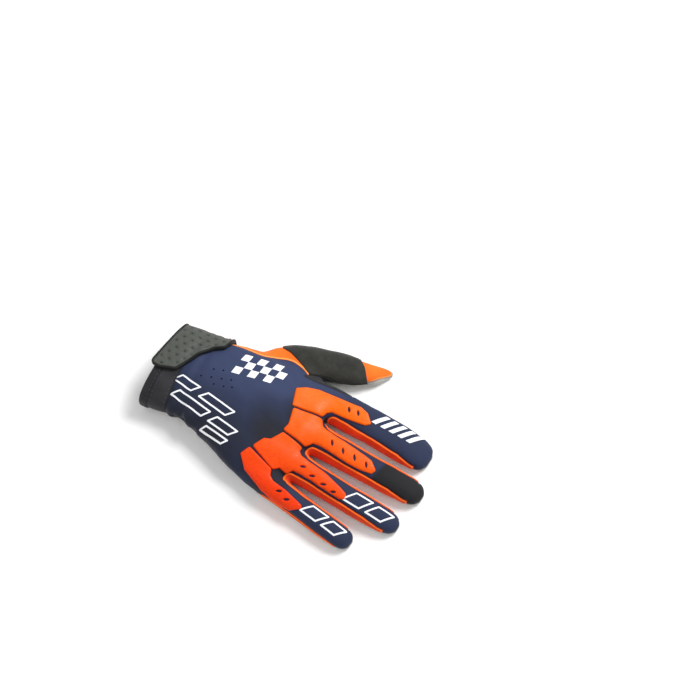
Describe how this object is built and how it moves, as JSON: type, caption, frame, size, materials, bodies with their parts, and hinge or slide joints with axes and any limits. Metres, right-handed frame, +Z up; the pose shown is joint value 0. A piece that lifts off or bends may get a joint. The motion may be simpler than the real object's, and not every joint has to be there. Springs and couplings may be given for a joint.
{
  "type": "riding glove",
  "caption": "Right-hand full-finger riding glove lying palm down, with knuckle pads, a wrist strap and an open wrist.",
  "frame": {"origin": "on the table under the middle of the glove's outline", "axes": "+X from the wrist to the fingertips, +Y towards the thumb, +Z up from the palm to the back of the hand"},
  "size_m": [0.229, 0.1464, 0.0341],
  "materials": {
    "back_cloth": "matt printed stretch cloth, navy fading to near black",
    "palm_suede": "matt napped synthetic suede, light grey",
    "side_cloth": "matt fine knit, orange",
    "cuff_cloth": "matt padded knit, black",
    "binding_tape": "ribbed binding tape, black",
    "patch_cloth": "coarse hard-wearing weave, black",
    "pad_rubber": "satin moulded rubber, orange",
    "strap_cloth": "matt hook-and-loop backing, black",
    "strap_rubber": "matt moulded rubber with studs, dark grey"
  },
  "bodies": {
    "root": {"palm_panel": "palm_suede", "back_panel": "back_cloth", "fork_index_middle": "side_cloth", "fork_middle_ring": "side_cloth", "fork_ring_little": "side_cloth", "side_index": "side_cloth", "side_little": "side_cloth", "thumb_panel": "side_cloth", "thumb_patch": "patch_cloth", "thumb_fork": "patch_cloth", "cuff": "cuff_cloth", "cuff_binding": "binding_tape", "strap_base": "strap_cloth", "strap_tab": "strap_rubber", "pad_index": "pad_rubber", "pad_middle": "pad_rubber", "pad_ring": "pad_rubber", "pad_little": "pad_rubber"}
  },
  "joints": []
}
